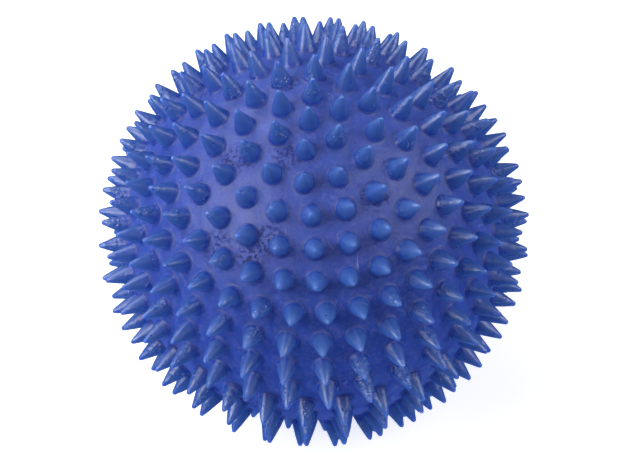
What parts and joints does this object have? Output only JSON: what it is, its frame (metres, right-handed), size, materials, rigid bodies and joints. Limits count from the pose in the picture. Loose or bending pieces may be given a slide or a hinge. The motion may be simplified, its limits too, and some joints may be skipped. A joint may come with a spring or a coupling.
{
  "type": "spiky massage ball",
  "caption": "Hollow soft ball covered in pointed massage spikes, with a push-in stopper that plugs its inflation valve.",
  "frame": {"origin": "centre of the ball", "axes": "+Z out through the top spike, about which the rings of spikes are laid out; -Z out through the valve; -Y is the front"},
  "size_m": [0.1594, 0.1594, 0.1589],
  "materials": {
    "soft_vinyl": "glossy, slightly translucent blue vinyl",
    "valve_vinyl": "smooth blue vinyl, a little duller than the skin",
    "plug_plastic": "milky, glossy moulded plastic"
  },
  "bodies": {
    "ball": {"ball_skin": "soft_vinyl", "valve_seat": "valve_vinyl"},
    "plug": {"valve_plug": "plug_plastic"}
  },
  "joints": [
    {"name": "plug_pull", "type": "slide", "parent": "ball", "child": "plug", "axis": [0, 0, -1], "range_m": [0, 0.0078]}
  ]
}
